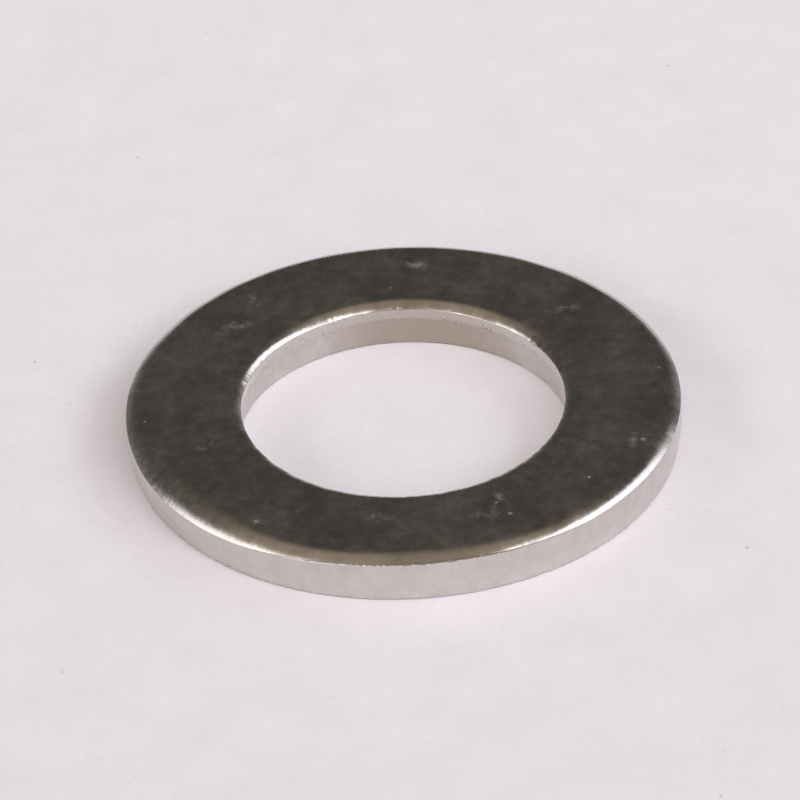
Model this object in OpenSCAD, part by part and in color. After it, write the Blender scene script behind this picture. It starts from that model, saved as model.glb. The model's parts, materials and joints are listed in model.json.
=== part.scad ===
// Flat washer, blanked from sheet: one closed ring.
// The origin is on the axis, in the plane of the seat face. +Z points out of the head face.
// Blanking leaves three bands on the rim and on the hole: a rolled corner where the punch drew
// the sheet down, a straight burnished wall, and a fracture band that leans away from the wall
// and ends in a sharp edge at the seat face.

/* [Ring] */
// Diameter of the hole at its straight wall
hole_d = 10.5; // [8:0.1:12]
// Diameter of the rim at its straight wall
outer_d = 18; // [15:0.5:30]
// Height from the seat face to the head face
thickness = 1.6; // [1:0.1:3]

/* [Rolled corners at the head face] */
// Width of the rolled corner on the rim, across the head face
rim_roll_w = 0.6; // [0.3:0.02:0.8]
// How far the rim's rolled corner drops below the head face
rim_roll_drop = 0.24; // [0.1:0.02:0.24]
// Width of the rolled corner on the hole, across the head face
hole_roll_w = 0.42; // [0.3:0.02:0.6]
// How far the hole's rolled corner drops below the head face
hole_roll_drop = 0.14; // [0.1:0.02:0.24]

/* [Fracture bands at the seat face] */
// Share of the thickness that is fracture band on the rim
rim_fracture_share = 0.4; // [0.1:0.02:0.7]
// How far the rim's fracture band leans in by the seat face
rim_lean = 0.12; // [0.02:0.01:0.16]
// Share of the thickness that is fracture band in the hole
hole_fracture_share = 0.68; // [0.1:0.02:0.7]
// How far the hole's fracture band leans out by the seat face
hole_lean = 0.12; // [0.02:0.01:0.16]

/* [Hidden] */

$fn = 180;
hole_r = hole_d / 2;
outer_r = outer_d / 2;
rim_fracture_h = thickness * rim_fracture_share;
hole_fracture_h = thickness * hole_fracture_share;

// What a rolled corner takes off a square one. The square corner is at the origin, with the
// ring towards -X and -Y of it. The roll is one arc, tangent to the head face a width w in from
// the corner, that meets the wall a drop below it. A drop no larger than w keeps it convex.
module corner_waste(w, drop) {
    roll_r = (w * w + drop * drop) / (2 * drop);
    translate([-w, 0])
        difference() {
            translate([0, -drop]) square([2 * w, 2 * drop]);
            translate([0, -roll_r]) circle(roll_r);
        }
}

// The ring's section with its head corners still square: X is the radius, Y the height.
module blank_section() {
    polygon([
        [hole_r + hole_lean, 0],
        [outer_r - rim_lean, 0],
        [outer_r, rim_fracture_h],
        [outer_r, thickness],
        [hole_r, thickness],
        [hole_r, hole_fracture_h],
    ]);
}

module ring_section() {
    difference() {
        blank_section();
        translate([outer_r, thickness])
            corner_waste(rim_roll_w, rim_roll_drop);
        translate([hole_r, thickness])
            mirror([1, 0])
                corner_waste(hole_roll_w, hole_roll_drop);
    }
}

module washer() {
    color("silver")
        rotate_extrude()
            ring_section();
}

washer();
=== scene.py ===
"""A stainless flat washer, blanked from sheet, lying on white paper under soft studio light.

Everything is in metres, in the CAD frame: the seat face is z = 0 and the axis is Z.
The ring is rebuilt as one fine mesh inside the CAD node's box, with the marks that
blanking and tumbling leave. The camera looks along +Y from above. Azimuths are in
degrees, anticlockwise from +X, so the front of the washer is at 270.
"""
import json
import math

import bpy
import numpy as np
from mathutils import Matrix, Vector


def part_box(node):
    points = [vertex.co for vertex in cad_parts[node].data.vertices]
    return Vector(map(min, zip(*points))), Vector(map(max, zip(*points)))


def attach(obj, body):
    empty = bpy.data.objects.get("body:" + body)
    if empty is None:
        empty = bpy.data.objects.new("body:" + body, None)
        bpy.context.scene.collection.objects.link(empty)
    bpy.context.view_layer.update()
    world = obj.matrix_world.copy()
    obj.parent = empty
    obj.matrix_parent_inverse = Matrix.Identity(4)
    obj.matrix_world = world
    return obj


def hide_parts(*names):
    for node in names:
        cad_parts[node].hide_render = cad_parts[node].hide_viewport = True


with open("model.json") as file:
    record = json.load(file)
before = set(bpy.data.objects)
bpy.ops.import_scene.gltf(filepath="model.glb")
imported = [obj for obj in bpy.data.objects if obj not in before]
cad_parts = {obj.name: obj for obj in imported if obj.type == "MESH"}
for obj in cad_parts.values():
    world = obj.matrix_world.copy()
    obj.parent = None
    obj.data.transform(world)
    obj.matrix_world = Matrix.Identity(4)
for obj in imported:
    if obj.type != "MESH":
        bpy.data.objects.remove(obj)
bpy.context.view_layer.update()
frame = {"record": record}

MM = 0.001
SEED = 7

# Driving sizes of the ring, from the frame.
BOLT_HOLE = next(m for m in frame["record"]["mounts"] if m["name"] == "bolt_hole")
NODE_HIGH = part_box("washer")[1]
RIM_R = NODE_HIGH.x
HOLE_R = BOLT_HOLE["dims"]["r_mm"] * MM
THICKNESS = NODE_HIGH.z

# Rolled corners: width across the head face, drop below it, and the power that the drop
# grows with on its way out.
RIM_ROLL_W = 0.60 * MM
RIM_ROLL_DROP = 0.24 * MM
HOLE_ROLL_W = 0.46 * MM
HOLE_ROLL_DROP = 0.14 * MM
ROLL_POWER = 2.1
# Power that sets a roll's rows closer together towards its steep end.
ROLL_SPACING = 0.8
# Fracture bands: height above the seat face, and lean off the straight wall.
RIM_TORN_HIGH = 0.64 * MM
HOLE_TORN_HIGH = 1.09 * MM
TORN_LEAN = 0.12 * MM
# Power that the lean grows with on its way down, and what the band steps in by as well.
LEAN_POWER = 1.5
TORN_STEP = 0.012 * MM
# How uneven the band's surface is, and the share of the band over which that fades in.
TORN_GRAIN = 0.0016 * MM
GRAIN_FADE = 0.25
# How uneven the seam above the torn band is, in broad waves and in fine ones.
SEAM_BROAD = 0.025 * MM
SEAM_FINE = 0.015 * MM
# Size of the worn corner between a roll and its wall, and of the one at the seat face.
CREST = 0.02 * MM
FOOT = 0.11 * MM
# Points of the corner at the seat face: how far in and how high, as shares of its size.
FOOT_PROFILE = ((0.2, 0.45), (0.6, 0.12), (1.1, 0))
# Width of the flat that every roll ends in, and what the rim's front has on top of that:
# a wider flat, worn back unevenly.
SHELF = 0.010 * MM
FRONT_SHELF = 0.05 * MM
FRONT_WEAR = 0.015 * MM
# Short bites out of a crest, and the fine waves between them.
BITE_COUNT = 90
BITE_DEPTH = 0.03 * MM
BITE_HALF_W = 0.045 * MM
CREST_WAVE = 0.004 * MM

# Where the blanking gap was widest, so the rim rolled and tore most, where it was
# narrowest, and where it opened a little again.
WIDE_GAP = 200
NARROW_GAP = 273
RIGHT_GAP = 325
# How the edges differ round the ring: amount, centre and spread in degrees.
RIM_WIDER = ((0.6, WIDE_GAP, 38), (0.25, RIGHT_GAP, 40))
RIM_DEEPER = ((0.86, WIDE_GAP + 14, 26), (-0.56, NARROW_GAP, 26))
RIM_TIGHTER = ((1.2, 246, 15), (-0.7, NARROW_GAP, 17), (2.2, 306, 21))
HOLE_DEEPER = ((0.38, 140, 34), (0.46, 47, 22))
HOLE_TIGHTER = ((0.6, 140, 34), (0.75, 47, 20))
RIM_TORN_HIGHER = ((0.3, WIDE_GAP - 10, 40),)
RIM_LEANS_MORE = ((0.3, WIDE_GAP - 10, 28), (-0.45, RIGHT_GAP, 32))
# What the rim has of the lean away from those, and the spread of its worn front.
RIM_LEANS = 0.95
FRONT_SPREAD = 22

# Points in each row round the ring, and rows in each band of its section.
SEGMENTS = 1200
RIM_ROLL_ROWS = 16
HOLE_ROLL_ROWS = 12
HEAD_ROWS = 6
WALL_ROWS = 5
TORN_ROWS = 12
SEAT_ROWS = 3
ANGLE = np.arange(SEGMENTS) * 2 * math.pi / SEGMENTS

# Material slots of the ring's mesh.
SHEET = 0
RIM_WALL = 1
HOLE_WALL = 2

UP = Vector((0, 0, 1))
RIGHT = Vector((1, 0, 0))


def direction(azimuth, elevation):
    """Unit vector towards an azimuth and elevation, both in degrees."""
    a = math.radians(azimuth)
    e = math.radians(elevation)
    return Vector((math.cos(a) * math.cos(e), math.sin(a) * math.cos(e), math.sin(e)))


# ---------------------------------------------------------------- variation round the ring

def waves(rng, lowest, highest, count=24):
    """A smooth random function of the angle, with a spread of about 1."""
    number = rng.integers(lowest, highest + 1, count)
    phase = rng.uniform(0, 2 * math.pi, count)
    size = rng.uniform(0.5, 1.0, count)
    size /= math.sqrt((size ** 2).sum() / 2)
    return (size * np.sin(np.outer(ANGLE, number) + phase)).sum(axis=1)


def swell(centre, spread):
    """A bump round the ring, 1 at its centre and near 0 past twice its spread."""
    away = (ANGLE - math.radians(centre) + math.pi) % (2 * math.pi) - math.pi
    return np.exp(-(away / math.radians(spread)) ** 2)


def swells(table):
    """The sum of the swells in a table of amount, centre and spread."""
    return sum(amount * swell(centre, spread) for amount, centre, spread in table)


def bites(rng, radius):
    """Short random dips, 0 to 1 deep, along an edge of that radius."""
    centres = rng.uniform(0, 360, BITE_COUNT)
    depths = rng.uniform(0.3, 1, BITE_COUNT)
    widths = rng.uniform(0.5, 1.5, BITE_COUNT)
    total = np.zeros(SEGMENTS)
    for centre, depth, width in zip(centres, depths, widths):
        spread = math.degrees(BITE_HALF_W * width / radius)
        total = np.maximum(total, depth * swell(centre, spread))
    return total


def rim_roll(rng):
    """Width, drop and power of the rim's roll."""
    width = RIM_ROLL_W * (1 + swells(RIM_WIDER) + 0.002 * waves(rng, 8, 90, 40))
    drop = RIM_ROLL_DROP * (1 + swells(RIM_DEEPER) + 0.02 * waves(rng, 5, 40))
    return width, drop, ROLL_POWER + swells(RIM_TIGHTER)


def hole_roll(rng):
    """Width, drop and power of the hole's roll."""
    slow = 0.04 * waves(rng, 1, 6)
    width = HOLE_ROLL_W * (1 + slow + 0.004 * waves(rng, 10, 120, 40))
    drop = HOLE_ROLL_DROP * (1 + swells(HOLE_DEEPER) + 0.03 * waves(rng, 20, 90))
    return width, drop, ROLL_POWER + swells(HOLE_TIGHTER)


def rim_shelf(rng):
    """Width of the flat at the end of the rim's roll, and how far its edge is worn back."""
    wear = FRONT_WEAR * (0.6 + 0.5 * waves(rng, 40, 300, 60)).clip(0, 1.8)
    front = swell(NARROW_GAP, FRONT_SPREAD)
    return SHELF + FRONT_SHELF * front, wear * front


def rim_torn():
    """Height and lean of the rim's torn band."""
    high = RIM_TORN_HIGH * (1 + swells(RIM_TORN_HIGHER))
    return high, TORN_LEAN * (RIM_LEANS + swells(RIM_LEANS_MORE))


# ---------------------------------------------------------------- the ring

def roll_rows(roll, inset, count):
    """Rows of a roll, from the head face out to inset from the straight wall."""
    width, drop, power = roll
    share = np.linspace(0, 1, count)[:, None] ** ROLL_SPACING
    out = (width - inset) * share - width
    height = THICKNESS - drop * share ** power
    rows = [(out[i], height[i], SHEET, False) for i in range(count - 1)]
    return rows + [(out[-1], height[-1], RIM_WALL, True)]


def torn_rows(seam, foot, lean, grain):
    """Rows of a torn band, from the seam down to the seat face."""
    rows = []
    for share in np.linspace(0, 1, TORN_ROWS + 1)[1:]:
        inward = TORN_STEP * share + lean * share ** LEAN_POWER
        out = grain * min(1, share / GRAIN_FADE) - inward
        rows.append((out, seam + (foot - seam) * share, RIM_WALL, False))
    for inward, rise in FOOT_PROFILE:
        slot = RIM_WALL if rise else SHEET
        rows.append((-lean - TORN_STEP - foot * inward, foot * rise, slot, False))
    return rows


def edge_rows(rng, roll, shelf, torn, radius, roll_count):
    """One edge from the head face down, as rows of (distance out, height, slot, sharp).

    Distances are from the straight wall, positive towards the open air. slot is the
    material below the row, and sharp is whether the edge along it is a crease.
    """
    shelf_w, wear = shelf
    torn_high, lean = torn
    nibble = BITE_DEPTH * bites(rng, radius) + CREST_WAVE * waves(rng, 100, 500, 60)
    seam = torn_high + SEAM_BROAD * waves(rng, 6, 90) + SEAM_FINE * waves(rng, 90, 400, 60)
    grain = TORN_GRAIN * waves(rng, 60, 500, 60)
    foot = FOOT * (0.8 + 0.16 * waves(rng, 8, 300, 60)).clip(0.25, 1.9)

    rows = roll_rows(roll, shelf_w + nibble * 0.2, roll_count)
    # The crest: two rows between the end of the roll and the straight wall.
    edge = THICKNESS - roll[1]
    wall_top = edge - CREST * 0.9 - wear * 2.0
    rows.append((-CREST * 0.3 - nibble * 0.2 - wear, edge - CREST * 0.3, RIM_WALL, True))
    rows.append((-nibble * 0.1, wall_top, RIM_WALL, True))
    for share in np.linspace(0, 1, WALL_ROWS + 1)[1:]:
        rows.append((0, wall_top + (seam - wall_top) * share, RIM_WALL, False))
    return rows + torn_rows(seam, foot, lean, grain)


def flat_rows(start, end, height, shares):
    """Rows across a flat face, at those shares of the way between two radii."""
    return [(start + (end - start) * share, height, SHEET, False) for share in shares]


def ring_rows():
    """Rows of (radius, height, slot, sharp) round the section: head, rim, seat, then hole."""
    rng = np.random.default_rng(SEED)
    rim_corner = rim_roll(rng)
    hole_corner = hole_roll(rng)
    shelf = rim_shelf(rng)
    rim = edge_rows(rng, rim_corner, shelf, rim_torn(), RIM_R, RIM_ROLL_ROWS)
    hole_torn = (HOLE_TORN_HIGH, TORN_LEAN)
    hole = edge_rows(rng, hole_corner, (SHELF, 0), hole_torn, HOLE_R, HOLE_ROLL_ROWS)

    shares = np.linspace(0, 1, HEAD_ROWS + 1)[:-1]
    rows = flat_rows(HOLE_R + hole_corner[0], RIM_R - rim_corner[0], THICKNESS, shares)
    rows += [(RIM_R + out, height, slot, sharp) for out, height, slot, sharp in rim]
    shares = np.linspace(0, 1, SEAT_ROWS + 2)[1:-1]
    rows += flat_rows(rows[-1][0], HOLE_R - hole[-1][0], 0, shares)
    # The hole's rows run upwards here, so each takes the material of the row above it.
    for index in range(len(hole) - 1, 0, -1):
        out, height, _, sharp = hole[index]
        slot = HOLE_WALL if hole[index - 1][2] == RIM_WALL else SHEET
        rows.append((HOLE_R - out, height, slot, sharp))
    return rows


def ring_faces(count):
    """Quads between each row and the next, and between the last row and the first."""
    row, column = np.meshgrid(np.arange(count), np.arange(SEGMENTS), indexing="ij")
    below = (row + 1) % count
    beside = (column + 1) % SEGMENTS
    corners = [(row, column), (below, column), (below, beside), (row, beside)]
    return np.stack([a * SEGMENTS + b for a, b in corners], axis=-1).reshape(-1, 4)


def crease(mesh, sharp_rows):
    """Mark the edges that run along those rows as sharp."""
    ends = np.empty(len(mesh.edges) * 2, int)
    mesh.edges.foreach_get("vertices", ends)
    ends = ends.reshape(-1, 2) // SEGMENTS
    along_row = ends[:, 0] == ends[:, 1]
    mesh.edges.foreach_set("use_edge_sharp", along_row & np.isin(ends[:, 0], sharp_rows))


def build_ring():
    """The whole washer as one closed mesh."""
    rows = ring_rows()
    r = np.array([np.broadcast_to(row[0], SEGMENTS) for row in rows])
    z = np.array([np.broadcast_to(row[1], SEGMENTS) for row in rows])
    points = np.stack([r * np.cos(ANGLE), r * np.sin(ANGLE), z], axis=-1).reshape(-1, 3)
    faces = ring_faces(len(rows))
    mesh = bpy.data.meshes.new("washer_ring")
    mesh.from_pydata(points.tolist(), [], faces.tolist())
    mesh.polygons.foreach_set("material_index", np.repeat([row[2] for row in rows], SEGMENTS))
    mesh.polygons.foreach_set("use_smooth", np.ones(len(faces), bool))
    mesh.update()
    crease(mesh, [index for index, row in enumerate(rows) if row[3]])
    ring = bpy.data.objects.new("washer_ring", mesh)
    bpy.context.scene.collection.objects.link(ring)
    return ring


# ---------------------------------------------------------------- nodes

def new_material(name):
    """A material, its node tree and its shader."""
    material = bpy.data.materials.new(name)
    material.use_nodes = True
    tree = material.node_tree
    return material, tree, tree.nodes["Principled BSDF"]


def here(tree):
    """The place of each point, in the object's own frame."""
    return tree.nodes.new("ShaderNodeTexCoord").outputs["Object"]


def noise(tree, scale, detail=3.0, roughness=0.55, stretch=(1, 1, 1)):
    """Noise, mostly between 0.3 and 0.7. scale is in features per metre."""
    mapping = tree.nodes.new("ShaderNodeMapping")
    mapping.inputs["Scale"].default_value = stretch
    texture = tree.nodes.new("ShaderNodeTexNoise")
    texture.inputs["Scale"].default_value = scale
    texture.inputs["Detail"].default_value = detail
    texture.inputs["Roughness"].default_value = roughness
    tree.links.new(here(tree), mapping.inputs["Vector"])
    tree.links.new(mapping.outputs["Vector"], texture.inputs["Vector"])
    return texture.outputs["Fac"]


def remap(tree, value, low, high, to_low, to_high):
    """The value, moved from one range to another and held inside it."""
    node = tree.nodes.new("ShaderNodeMapRange")
    node.inputs["From Min"].default_value = low
    node.inputs["From Max"].default_value = high
    node.inputs["To Min"].default_value = to_low
    node.inputs["To Max"].default_value = to_high
    tree.links.new(value, node.inputs["Value"])
    return node.outputs["Result"]


def maths(tree, operation, first, second=0.0):
    """One maths node. Either value may be a number or another node's output."""
    node = tree.nodes.new("ShaderNodeMath")
    node.operation = operation
    for socket, value in zip(node.inputs, (first, second)):
        if isinstance(value, (int, float)):
            socket.default_value = value
        else:
            tree.links.new(value, socket)
    return node.outputs["Value"]


def plus(tree, first, second):
    return maths(tree, "ADD", first, second)


def times(tree, first, second):
    return maths(tree, "MULTIPLY", first, second)


def larger(tree, first, second):
    return maths(tree, "MAXIMUM", first, second)


def along(tree, vector, axis):
    """How far the vector reaches along an axis."""
    node = tree.nodes.new("ShaderNodeVectorMath")
    node.operation = "DOT_PRODUCT"
    node.inputs[1].default_value = axis
    tree.links.new(vector, node.inputs[0])
    return node.outputs["Value"]


def blend_colours(tree, share, first, second):
    """The first colour where share is 0, the second where it is 1."""
    node = tree.nodes.new("ShaderNodeMix")
    node.data_type = "RGBA"
    node.inputs["A"].default_value = (*first, 1)
    node.inputs["B"].default_value = (*second, 1)
    tree.links.new(share, node.inputs["Factor"])
    return node.outputs["Result"]


def turn_to(tree, colour, share, tone):
    """The colour, turned towards tone where share is 1."""
    node = tree.nodes.new("ShaderNodeMix")
    node.data_type = "RGBA"
    node.inputs["B"].default_value = (*tone, 1)
    tree.links.new(colour, node.inputs["A"])
    tree.links.new(share, node.inputs["Factor"])
    return node.outputs["Result"]


def bump(tree, height, distance):
    """A normal for relief where a height of 1 stands that distance proud."""
    node = tree.nodes.new("ShaderNodeBump")
    node.inputs["Strength"].default_value = 1.0
    node.inputs["Distance"].default_value = distance
    tree.links.new(height, node.inputs["Height"])
    return node.outputs["Normal"]


def specks(tree, spacing, size, share):
    """Scattered round marks: 1 inside, 0 outside. share of the cells hold one."""
    cells = tree.nodes.new("ShaderNodeTexVoronoi")
    cells.inputs["Scale"].default_value = 1 / spacing
    tree.links.new(here(tree), cells.inputs["Vector"])
    channels = tree.nodes.new("ShaderNodeSeparateColor")
    tree.links.new(cells.outputs["Color"], channels.inputs["Color"])
    reach = size / 2 / spacing
    near = remap(tree, cells.outputs["Distance"], reach * 0.5, reach, 1, 0)
    chosen = remap(tree, channels.outputs["Red"], 1 - share, 1 - share * 0.8, 0, 1)
    return times(tree, near, chosen)


def mark(tree, azimuth, radius, length, turn=0.0, slim=1.0, core=0.1):
    """A soft mark on the head face, 1 at its core. slim is its width over its length."""
    mapping = tree.nodes.new("ShaderNodeMapping")
    mapping.vector_type = "TEXTURE"
    centre = direction(azimuth, 0) * radius
    centre.z = THICKNESS
    mapping.inputs["Location"].default_value = centre
    mapping.inputs["Rotation"].default_value = (0, 0, math.radians(turn))
    mapping.inputs["Scale"].default_value = (length / 2, length / 2 * slim, length / 2)
    tree.links.new(here(tree), mapping.inputs["Vector"])
    reach = tree.nodes.new("ShaderNodeVectorMath")
    reach.operation = "LENGTH"
    tree.links.new(mapping.outputs["Vector"], reach.inputs[0])
    return remap(tree, reach.outputs["Value"], core, 1, 1, 0)


def at_height(tree, height, half):
    """1 at that height above the floor, 0 past half from it."""
    rise = along(tree, here(tree), UP)
    off = maths(tree, "ABSOLUTE", maths(tree, "SUBTRACT", rise, height))
    return remap(tree, off, half * 0.4, half, 1, 0)


def below_height(tree, height, blur):
    """1 below that height, 0 above it."""
    rise = along(tree, here(tree), UP)
    return remap(tree, rise, height - blur, height + blur, 1, 0)


def toward(tree, azimuth, none, full):
    """0 where a point lies less than none metres out that way, 1 past full."""
    return remap(tree, along(tree, here(tree), direction(azimuth, 0)), none, full, 0, 1)


# ---------------------------------------------------------------- materials

# Noise, in features per metre.
SHEET_CLOUD = 2300
SHEET_PATCH = 480
SHEET_GRAIN = 15000
WALL_STREAK = 6000
WALL_PATCH = 2200
WALL_FLECK = 14000
PAPER_CLOUD = 420
PAPER_TOOTH = 7000
PAPER_CROWD = 120

# Sheet faces: colours, roughness from clean to dull, and what rubs and nicks do to them; their
# lighter tone is partly wear and partly a painted sheen.
SHEET_CLEAN = (0.47, 0.45, 0.43)
SHEET_DULL = (0.69, 0.665, 0.64)
SHEET_BARE_AND_SHEEN = (0.92, 0.90, 0.88)
SHEET_ROUGH = (0.2, 0.31)
SHEET_RELIEF = 0.001 * MM
RUB_SHEEN = 0.75
RUB_ROUGHER = 0.19
NICK_ROUGH = 0.52

# Walls: colours, the range of their roughness, and what tearing and pitting add to that.
WALL_DARK = (0.63, 0.595, 0.565)
WALL_PALE = (0.71, 0.68, 0.65)
WALL_ROUGH = (0.15, 0.25)
TORN_ROUGHER = 0.1
PITTED_ROUGHER = 0.26
# Height of the walls' streaks, and how many times deeper a pit is.
WALL_RELIEF = 0.002 * MM
PIT_RELIEF = 2.0
# Colour of a pit, painted dark as shade in its hollow, and how pitted each wall is, from 0 to 1.
PIT_SHADE = (0.30, 0.27, 0.25)
RIM_PITTED = 0.25
HOLE_PITTED = 1.0
# Half height of the ragged band along the seam, and the blur of the seam itself.
SEAM_HALF = 0.22 * MM
SEAM_BLUR = 0.05 * MM
# Brown stain, partly painted shade on the wall's far side: its colour, its azimuth, how far out
# it starts and is full, and its share above and below the seam.
BROWN_STAIN_AND_SHADE = (0.42, 0.36, 0.29)
STAIN_AND_SHADE_AZIMUTH = 80
STAIN_AND_SHADE_FROM = 0.78 * HOLE_R
STAIN_AND_SHADE_FULL = 0.98 * HOLE_R
STAIN_AND_SHADE_SHARE = (0.42, 0.66)

# Paper: colours, gloss, the height of its tooth, and the colour and strength of its dust.
PAPER_DARK = (0.80, 0.795, 0.853)
PAPER_PALE = (0.925, 0.92, 0.985)
PAPER_ROUGH = 0.9
PAPER_SPECULAR = 0.2
PAPER_RELIEF = 0.01 * MM
DUST = (0.42, 0.40, 0.42)
DUST_SHARE = 0.75
# Painted light: the side where the paper is painted paler, as if lit more from there: its
# azimuth, where that starts and where it is full.
PAINTED_LIGHT_SIDE = (55, -0.02, 0.04)
PAINTED_LIGHT_SHARE = 0.3

# Small random specks: spacing, size, and share of the cells that hold one.
SHEET_SPECKS = (1.3 * MM, 0.07 * MM, 0.18)
WALL_SPECKS = (0.8 * MM, 0.1 * MM, 0.2)
PAPER_SPECKS = (1.2 * MM, 0.16 * MM, 0.45)

# Nicks on the head face: azimuth, radius and size in mm.
NICKS = (
    (122, 5.95, 0.13), (233, 8.05, 0.30), (184, 8.4, 0.18), (92, 6.3, 0.14),
    (7, 8.4, 0.16), (339, 8.2, 0.30), (320, 7.6, 0.20), (296, 7.4, 0.24), (295, 6.65, 0.18),
)
NICK_CORE = 0.45
# Rubbed patches on the head face, real wear painted lighter as a painted sheen: azimuth, radius
# and length in mm, turn, width over length.
RUBS = (
    (198, 6.7, 1.3, 55, 0.35), (292, 7.0, 1.5, 20, 0.5), (297, 6.5, 1.0, 130, 0.45),
    (140, 7.0, 1.6, 30, 0.5), (128, 7.6, 1.0, 100, 0.5), (40, 7.2, 1.4, 15, 0.45),
    (338, 7.9, 1.2, 80, 0.4), (262, 6.6, 1.2, 0, 0.5), (85, 7.6, 1.5, 160, 0.4),
)


def rub_marks(tree):
    rub = 0.0
    for azimuth, radius, length, turn, slim in RUBS:
        rub = larger(tree, rub, mark(tree, azimuth, radius * MM, length * MM, turn, slim))
    return rub


def nick_marks(tree):
    nick = specks(tree, *SHEET_SPECKS)
    for azimuth, radius, size in NICKS:
        nick = larger(tree, nick, mark(tree, azimuth, radius * MM, size * MM, core=NICK_CORE))
    return nick


def sheet_steel():
    """Flat faces and rolls: clouded steel with rubbed patches and bright nicks, painted lighter
    as a painted sheen on top of the wear.
    """
    material, tree, shader = new_material("sheet_steel")
    cloud = noise(tree, SHEET_CLOUD, detail=5, roughness=0.72)
    patch = noise(tree, SHEET_PATCH, detail=3, roughness=0.6)
    grain = noise(tree, SHEET_GRAIN, detail=3)
    clouded = remap(tree, cloud, 0.35, 0.68, 0, 0.6)
    dull = plus(tree, clouded, remap(tree, patch, 0.38, 0.66, 0, 0.4))
    rubbed = times(tree, rub_marks(tree), remap(tree, cloud, 0.42, 0.6, 0, 1))
    nick = times(tree, nick_marks(tree), remap(tree, grain, 0.3, 0.6, 0.45, 1))

    tint = blend_colours(tree, dull, SHEET_CLEAN, SHEET_DULL)
    # Painted sheen: rubs and nicks are painted lighter, for the light their rougher surface
    # catches.
    bright = larger(tree, nick, times(tree, rubbed, RUB_SHEEN))
    tint = turn_to(tree, tint, bright, SHEET_BARE_AND_SHEEN)
    rough = remap(tree, dull, 0.1, 0.9, *SHEET_ROUGH)
    rough = plus(tree, rough, times(tree, rubbed, RUB_ROUGHER))
    rough = larger(tree, rough, times(tree, nick, NICK_ROUGH))
    shader.inputs["Metallic"].default_value = 1.0
    tree.links.new(tint, shader.inputs["Base Color"])
    tree.links.new(rough, shader.inputs["Roughness"])
    tree.links.new(bump(tree, grain, SHEET_RELIEF), shader.inputs["Normal"])
    return material


def wall_pits(tree, seam, pitted, patch):
    """Chips along the seam and specks all over, 1 inside them."""
    ragged = times(tree, at_height(tree, seam, SEAM_HALF), remap(tree, patch, 0.48, 0.6, 0, 1))
    fleck = remap(tree, noise(tree, WALL_FLECK, detail=1), 0.56, 0.64, 0, 1)
    chips = times(tree, times(tree, ragged, fleck), pitted)
    spacing, size, share = WALL_SPECKS
    return larger(tree, chips, specks(tree, spacing, size, share * pitted))


def wall_stain_and_shade(tree, below, pitted):
    """Share of the brown stain and painted shade on the side where it is, more of it below the
    seam.
    """
    side = times(tree, toward(tree, STAIN_AND_SHADE_AZIMUTH, STAIN_AND_SHADE_FROM, STAIN_AND_SHADE_FULL), pitted)
    return times(tree, side, remap(tree, below, 0, 1, *STAIN_AND_SHADE_SHARE))


def wall_steel(name, seam, pitted):
    """Sheared steel. seam is the height where the torn band starts, pitted is 0 to 1."""
    material, tree, shader = new_material(name)
    streak = noise(tree, WALL_STREAK, detail=4, roughness=0.65, stretch=(1, 1, 0.12))
    patch = noise(tree, WALL_PATCH, detail=4, roughness=0.6)
    below = below_height(tree, seam, SEAM_BLUR)
    pits = wall_pits(tree, seam, pitted, patch)

    tint = blend_colours(tree, remap(tree, patch, 0.3, 0.7, 0, 1), WALL_DARK, WALL_PALE)
    # Partly painted shade: the far side of the walls is painted browner and darker, more so
    # below the seam.
    tint = turn_to(tree, tint, wall_stain_and_shade(tree, below, pitted), BROWN_STAIN_AND_SHADE)
    # Painted shade: pits and chips are painted dark, as if shade fell inside them.
    tint = turn_to(tree, tint, pits, PIT_SHADE)
    rough = remap(tree, streak, 0.3, 0.7, *WALL_ROUGH)
    rough = plus(tree, rough, times(tree, below, TORN_ROUGHER + PITTED_ROUGHER * pitted))
    relief = maths(tree, "SUBTRACT", streak, times(tree, pits, PIT_RELIEF))
    shader.inputs["Metallic"].default_value = 1.0
    tree.links.new(tint, shader.inputs["Base Color"])
    tree.links.new(rough, shader.inputs["Roughness"])
    tree.links.new(bump(tree, relief, WALL_RELIEF), shader.inputs["Normal"])
    return material


def paper():
    """Uncoated paper, with faint cloud, fine tooth, a few dark specks and painted light on one
    side.
    """
    material, tree, shader = new_material("paper")
    cloud = noise(tree, PAPER_CLOUD, detail=7, roughness=0.66)
    tooth = noise(tree, PAPER_TOOTH, detail=4, roughness=0.6)
    clouded = remap(tree, cloud, 0.3, 0.7, 0, 0.42)
    pale = plus(tree, clouded, remap(tree, tooth, 0.3, 0.7, 0, 0.33))
    # Painted light: the paper is painted paler towards one side, where more light falls.
    pale = plus(tree, pale, times(tree, toward(tree, *PAINTED_LIGHT_SIDE), PAINTED_LIGHT_SHARE))
    crowd = remap(tree, noise(tree, PAPER_CROWD, detail=2), 0.45, 0.65, 0.1, 1)
    dust = times(tree, specks(tree, *PAPER_SPECKS), crowd)

    tint = blend_colours(tree, pale, PAPER_DARK, PAPER_PALE)
    tint = turn_to(tree, tint, times(tree, dust, DUST_SHARE), DUST)
    shader.inputs["Roughness"].default_value = PAPER_ROUGH
    shader.inputs["Specular IOR Level"].default_value = PAPER_SPECULAR
    tree.links.new(tint, shader.inputs["Base Color"])
    tree.links.new(bump(tree, tooth, PAPER_RELIEF), shader.inputs["Normal"])
    return material


# ---------------------------------------------------------------- stage

FLOOR_HALF = 8.0

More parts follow.
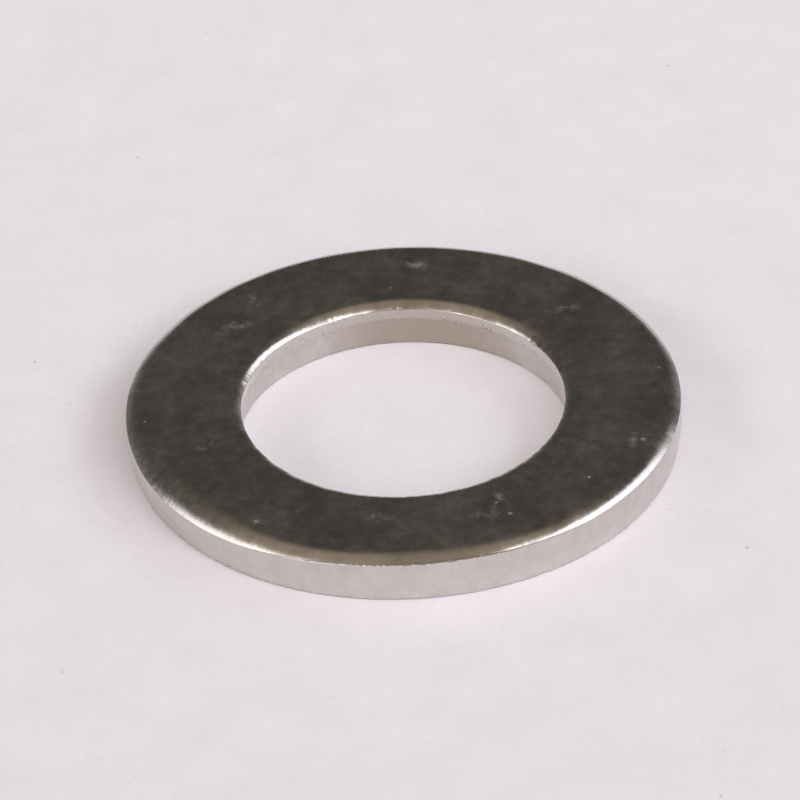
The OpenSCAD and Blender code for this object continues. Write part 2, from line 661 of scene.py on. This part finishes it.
# Soft boxes: azimuth and elevation, width and height in degrees as the washer sees them,
# radiance and colour.
SOFT_BOXES = {
    "window_right": (-8, 36, 80, 24, 2.25, (0.95, 0.935, 1.0)),
    "window_left": (196, 30, 62, 12, 2.5, (0.97, 0.94, 0.955)),
    "ceiling_lamp": (286, 60, 44, 20, 3.5, (1.0, 0.965, 0.98)),
    "room_left": (-128, 30, 30, 34, 1.1, (0.97, 0.94, 1.0)),
    "room_right": (-50, 37, 24, 18, 2.4, (0.97, 0.94, 1.0)),
}
BOX_DISTANCE = 3.0

# The room: its colours, the way it darkens, how much it darkens to both sides, and the
# range that the change takes.
ROOM_WARM = (0.365, 0.30, 0.228)
ROOM_DARK = (0.077, 0.07, 0.062)
ROOM_PALE = (0.70, 0.65, 0.66)
ROOM_DARKENS = (0.12, 0.75, -0.6)
ROOM_SIDES = 0.5
ROOM_BLUR = 0.16
# Pale band all round, just above the floor: the rise where it is full, and where it ends.
HORIZON = (0.01, 0.03)
# Pale stretches left and right: the same for them, and how far aside they start and are full.
PALE_RISE = (0.1, 0.42)
PALE_REACH = (0.35, 0.8)


def make_floor():
    mesh = bpy.data.meshes.new("paper_sheet")
    sides = ((-1, -1), (1, -1), (1, 1), (-1, 1))
    mesh.from_pydata([(x * FLOOR_HALF, y * FLOOR_HALF, 0) for x, y in sides], [], [(0, 1, 2, 3)])
    floor = bpy.data.objects.new("paper_sheet", mesh)
    bpy.context.scene.collection.objects.link(floor)
    mesh.materials.append(paper())


def soft_box(name, azimuth, elevation, width, height, radiance, colour):
    """A rectangular light of even brightness that faces the washer. Angles are in degrees."""
    light = bpy.data.lights.new(name, "AREA")
    light.shape = "RECTANGLE"
    light.size = 2 * BOX_DISTANCE * math.tan(math.radians(width / 2))
    light.size_y = 2 * BOX_DISTANCE * math.tan(math.radians(height / 2))
    light.energy = radiance * math.pi * light.size * light.size_y
    light.color = colour
    lamp = bpy.data.objects.new(name, light)
    bpy.context.scene.collection.objects.link(lamp)
    outward = direction(azimuth, elevation)
    lamp.location = outward * BOX_DISTANCE
    lamp.rotation_mode = "QUATERNION"
    lamp.rotation_quaternion = outward.to_track_quat("Z", "Y")


def make_room():
    """The room the steel mirrors: warm and dim, darker behind the washer, pale low down."""
    world = bpy.data.worlds.new("room")
    bpy.context.scene.world = world
    world.use_nodes = True
    tree = world.node_tree
    way = tree.nodes.new("ShaderNodeTexCoord").outputs["Generated"]
    rise = along(tree, way, UP)
    reach = maths(tree, "ABSOLUTE", along(tree, way, RIGHT))
    darker = plus(tree, along(tree, way, ROOM_DARKENS), times(tree, reach, ROOM_SIDES))
    share = remap(tree, darker, -ROOM_BLUR, ROOM_BLUR, 0, 1)
    colour = blend_colours(tree, share, ROOM_WARM, ROOM_DARK)
    outer = remap(tree, reach, *PALE_REACH, 0, 1)
    pale = times(tree, outer, remap(tree, rise, *PALE_RISE, 1, 0))
    pale = larger(tree, pale, remap(tree, rise, *HORIZON, 1, 0))
    background = tree.nodes["Background"]
    background.inputs["Strength"].default_value = 1.0
    tree.links.new(turn_to(tree, colour, pale, ROOM_PALE), background.inputs["Color"])


# ---------------------------------------------------------------- camera

# Angles in degrees, sensor and lens in mm, and the rest in metres.
CAMERA_AZIMUTH = 270
CAMERA_ELEVATION = 35.44
CAMERA_ROLL = -2.76
CAMERA_DISTANCE = 37 * RIM_R
AIM = Vector((-0.0109, 0.2395, 0)) * RIM_R
SENSOR = 36
LENS = 461.7
CLIP_NEAR = 0.01
CLIP_FAR = 20


def make_camera():
    camera = bpy.data.objects.new("camera", bpy.data.cameras.new("camera"))
    bpy.context.scene.collection.objects.link(camera)
    camera.data.sensor_width = SENSOR
    camera.data.lens = LENS
    camera.data.clip_start = CLIP_NEAR
    camera.data.clip_end = CLIP_FAR
    camera.location = direction(CAMERA_AZIMUTH, CAMERA_ELEVATION) * CAMERA_DISTANCE
    look = (AIM - camera.location).to_track_quat("-Z", "Y").to_matrix()
    turn = Matrix.Rotation(math.radians(CAMERA_ROLL), 3, "Z")
    camera.rotation_euler = (look @ turn).to_euler()
    bpy.context.scene.camera = camera


make_camera()
make_room()
for box_name, box_facts in SOFT_BOXES.items():
    soft_box(box_name, *box_facts)
make_floor()
ring = build_ring()
ring.data.materials.append(sheet_steel())
ring.data.materials.append(wall_steel("rim_wall_steel", RIM_TORN_HIGH, RIM_PITTED))
ring.data.materials.append(wall_steel("hole_wall_steel", HOLE_TORN_HIGH, HOLE_PITTED))
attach(ring, "root")
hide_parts("washer")
bpy.context.scene.view_settings.view_transform = "Standard"
